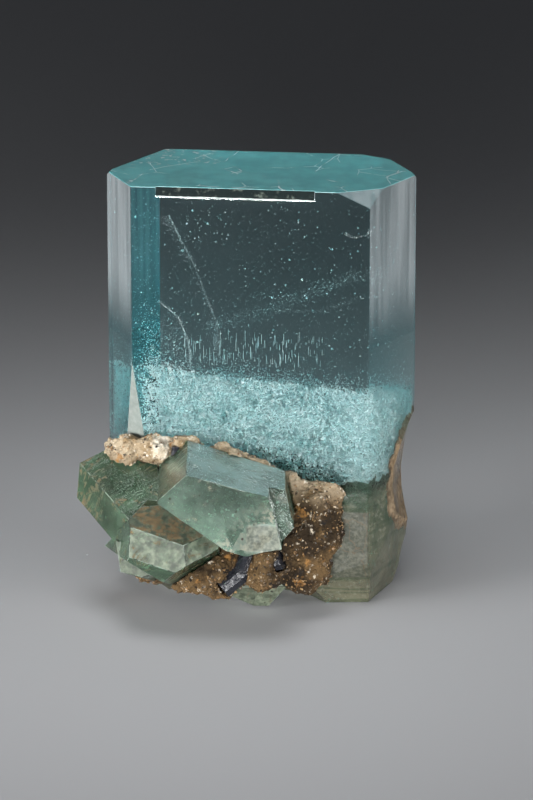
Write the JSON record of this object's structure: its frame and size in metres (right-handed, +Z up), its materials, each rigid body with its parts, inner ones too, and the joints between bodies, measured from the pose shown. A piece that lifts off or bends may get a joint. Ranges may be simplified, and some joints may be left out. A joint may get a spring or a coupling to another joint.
{
  "type": "aquamarine crystal on matrix",
  "caption": "Stout six-sided aquamarine crystal, flat on top, standing on its broken foot with small green beryl crystals, feldspar and schorl at the front.",
  "frame": {"origin": "on the flat of the broken foot that the specimen rests on, below the main crystal's middle", "axes": "+Z up along the main crystal's long axis, -Y toward the front, where the small crystals are, +X to the right"},
  "size_m": [0.0504, 0.0377, 0.0647],
  "materials": {
    "aquamarine": "clear blue crystal, polished natural faces, milky below",
    "milky_beryl": "cloud of tiny bubbles and flakes inside the clear crystal",
    "green_beryl": "clear to cloudy green crystal",
    "pale_beryl": "cloudy pale green crystal, broken",
    "feldspar": "rough granular beige to brown rock",
    "schorl": "glossy black, striated"
  },
  "bodies": {
    "root": {"aquamarine_crystal": "aquamarine", "milky_zone": "milky_beryl", "left_beryl_crystal": "green_beryl", "front_beryl_crystal": "green_beryl", "base_beryl_chip": "pale_beryl", "feldspar_matrix": "feldspar", "schorl_1": "schorl", "schorl_2": "schorl", "schorl_3": "schorl", "schorl_4": "schorl"}
  },
  "joints": []
}
